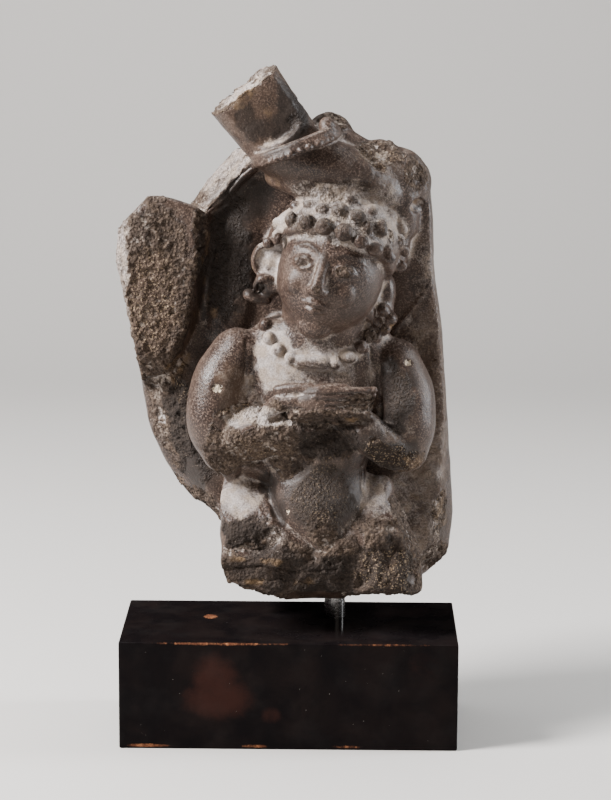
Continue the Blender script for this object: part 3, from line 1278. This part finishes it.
print("stone: fine forms")
fine = bmesh.new()
fine.from_mesh(stone.data)
for make in (curls, features, earRing, earOrnaments, foldedHands, necklace, bangleRing, bangleKnob,
             bangleBeads, discRim):
    make(fine)
bpy.data.objects.remove(stone)
stone = carve(fine, carving["fineVoxel"], carving["fineRelax"], fineBreaks)

print("stone: surface")
finish = finishSurface(stone)
stone = thinOut(stone, carving["triangles"])
storeFinish(stone, finish)
stone.data.transform(Matrix.Scale(metre, 4))
shadeSmooth(stone)
print("stone: faces", len(stone.data.polygons))
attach(stone, "root")
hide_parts("stone_figure")
stone.data.materials.append(schistMaterial())


rod = {"radius": 6.35, "at": (27, 15), "bottom": 25, "top": 121, "chamfer": 0.5, "sides": 96}


def buildRod():
    bar = bmesh.new()
    bmesh.ops.create_cone(bar, cap_ends=True, segments=rod["sides"], radius1=rod["radius"],
                          radius2=rod["radius"], depth=rod["top"] - rod["bottom"])
    rims = [edge for edge in bar.edges if abs(edge.verts[0].co.z - edge.verts[1].co.z) < 1e-4]
    bmesh.ops.bevel(bar, geom=rims, offset=rod["chamfer"], affect="EDGES", segments=2, profile=0.5,
                    material=-1)
    bmesh.ops.translate(bar, verts=bar.verts[:], vec=(*rod["at"], (rod["bottom"] + rod["top"]) / 2))
    bmesh.ops.scale(bar, verts=bar.verts[:], vec=(metre, metre, metre))
    piece = pieceFrom(bar, "steelRod")
    for polygon in piece.data.polygons:
        polygon.use_smooth = polygon.area < 1e-4
    piece.data.materials.append(steelMaterial())
    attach(piece, "root")
    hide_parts("mount_rod")


block = {"size": (200, 94, 65), "edge": 1.0, "socket": 6.65, "socketFloor": 25, "drillLength": 60}


def buildBlock():
    body = bmesh.new()
    bmesh.ops.create_cube(body, size=1)
    bmesh.ops.scale(body, verts=body.verts[:], vec=block["size"])
    bmesh.ops.translate(body, verts=body.verts[:], vec=(0, 0, block["size"][2] / 2))
    bmesh.ops.bevel(body, geom=body.edges[:], offset=block["edge"], affect="EDGES", segments=4, profile=0.5,
                    material=-1)
    piece = pieceFrom(body, "lacqueredBlock")
    drill = bmesh.new()
    bmesh.ops.create_cone(drill, cap_ends=True, segments=rod["sides"], radius1=block["socket"],
                          radius2=block["socket"], depth=block["drillLength"])
    middle = block["socketFloor"] + block["drillLength"] / 2
    bmesh.ops.translate(drill, verts=drill.verts[:], vec=(*rod["at"], middle))
    cutter = pieceFrom(drill, "drill")
    modifier = piece.modifiers.new("socket", "BOOLEAN")
    modifier.object, modifier.operation, modifier.solver = cutter, "DIFFERENCE", "EXACT"
    applied(piece)
    bpy.data.objects.remove(cutter)
    piece.data.transform(Matrix.Scale(metre, 4))
    shadeSmooth(piece)
    modifier = piece.modifiers.new("flatFaces", "WEIGHTED_NORMAL")
    modifier.keep_sharp = True
    piece.data.materials.append(lacquerMaterial())
    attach(piece, "root")
    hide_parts("mount_block")


print("rod and block")
buildRod()
buildBlock()


# Camera at the photograph's angle, fitted to the block's corners

cameraView = {
    "at": (0.0274113, -1.546776, 0.508257),
    "right": (0.99990411, 0.01299231, 0.00479367),
    "up": (-0.00722765, 0.19433029, 0.98090953),
    "ahead": (-0.01181273, 0.98085011, -0.19440556),
    "lens": 119.43,
    "sensor": 36,
}


def placeCamera():
    lens = bpy.data.cameras.new("viewCamera")
    lens.sensor_fit = "VERTICAL"
    lens.sensor_height = cameraView["sensor"]
    lens.lens = cameraView["lens"]
    camera = bpy.data.objects.new("viewCamera", lens)
    axes = Matrix((cameraView["right"], cameraView["up"], -Vector(cameraView["ahead"]))).transposed()
    camera.matrix_world = Matrix.Translation(cameraView["at"]) @ axes.to_4x4()
    bpy.context.scene.collection.objects.link(camera)
    bpy.context.scene.camera = camera


placeCamera()


# Stage: pale floor and backdrop, a soft key from the upper left, a weaker rim from the right

stage = {
    "half": 2.2,
    "wallBehind": 1.1,
    "sweep": 0.7,
    "front": -2.4,
    "floor": (0.435, 0.425, 0.41),
    "roughness": 0.7,
    "room": (0.84, 0.82, 0.8),
    "roomLight": 0.045,
}
lamps = [
    # name, place, aimed at, width, height, watts, colour
    ("keyLight", (-1.2, -0.42, 1.15), (0, 0, 0.25), 0.45, 0.7, 136, (1.0, 0.97, 0.96)),
    ("rimLight", (1.2, 0.12, 0.6), (0, 0, 0.25), 0.25, 0.9, 30, (0.95, 0.97, 1.0)),
    ("fillLight", (0.8, -1.5, 0.75), (0, 0, 0.25), 1.2, 1.2, 8, (1.0, 0.88, 0.78)),
    ("topLight", (-0.1, 0.2, 1.3), (0, 0, 0.25), 0.6, 0.4, 9, (1.0, 1.0, 1.0)),
    ("wallLight", (0, 0.5, 2.0), (0, 1.8, 0.2), 1.6, 0.4, 6, (1.0, 1.0, 1.0)),
]


def buildStage():
    sheet = bmesh.new()
    bmesh.ops.create_grid(sheet, x_segments=2, y_segments=60, size=stage["half"])
    for vert in sheet.verts:
        along = vert.co.y + stage["half"] + stage["front"]
        around = (along - stage["wallBehind"]) / stage["sweep"]
        bent = min(max(around, 0), math.pi / 2)
        vert.co.y = min(along, stage["wallBehind"]) + stage["sweep"] * math.sin(bent)
        vert.co.z = stage["sweep"] * (1 - math.cos(bent) + max(around - bent, 0) * (around > 0))
    floor = pieceFrom(sheet, "paleFloor")
    shadeSmooth(floor)
    plain = newMaterial("paleFloor", Base_Color=(*stage["floor"], 1), Roughness=stage["roughness"])[0]
    floor.data.materials.append(plain)
    for name, place, aim, width, height, watts, colour in lamps:
        lamp = bpy.data.lights.new(name, "AREA")
        lamp.shape = "RECTANGLE"
        lamp.size, lamp.size_y = width, height
        lamp.energy, lamp.color = watts, colour
        holder = bpy.data.objects.new(name, lamp)
        holder.location = place
        holder.rotation_euler = (Vector(aim) - Vector(place)).to_track_quat("-Z", "Y").to_euler()
        bpy.context.scene.collection.objects.link(holder)
    world = bpy.data.worlds.new("paleRoom")
    world.use_nodes = True
    background = world.node_tree.nodes["Background"]
    background.inputs["Color"].default_value = (*stage["room"], 1)
    background.inputs["Strength"].default_value = stage["roomLight"]
    bpy.context.scene.world = world


buildStage()
